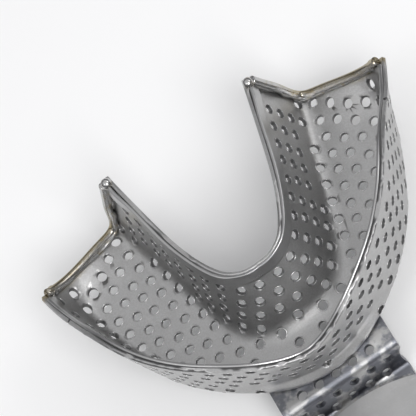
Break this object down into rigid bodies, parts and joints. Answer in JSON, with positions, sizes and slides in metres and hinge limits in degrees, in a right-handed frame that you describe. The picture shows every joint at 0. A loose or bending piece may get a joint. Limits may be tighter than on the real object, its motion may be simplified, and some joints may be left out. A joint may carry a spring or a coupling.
{
  "type": "impression tray",
  "caption": "Horseshoe dental impression tray of perforated steel sheet with stiffened rims, heel beads and a stepped fixed handle.",
  "frame": {"origin": "under the middle of the whole instrument's outline, level with its lowest face", "axes": "+X across the arch, square to the plane of symmetry; +Y from the handle towards the heels; +Z out of the open top of the trough"},
  "size_m": [0.08, 0.0988, 0.0279],
  "materials": {
    "punched_sheet": "satin",
    "rim_band": "satin",
    "heel_wire": "polished",
    "root_plate": "satin",
    "handle_plate": "satin",
    "braze_metal": "rough"
  },
  "bodies": {
    "root": {"tray_body": "punched_sheet", "outer_rim": "rim_band", "inner_rim": "rim_band", "heel_bead_left": "heel_wire", "heel_bead_right": "heel_wire", "handle_root": "root_plate", "handle": "handle_plate", "handle_braze": "braze_metal"}
  },
  "joints": []
}
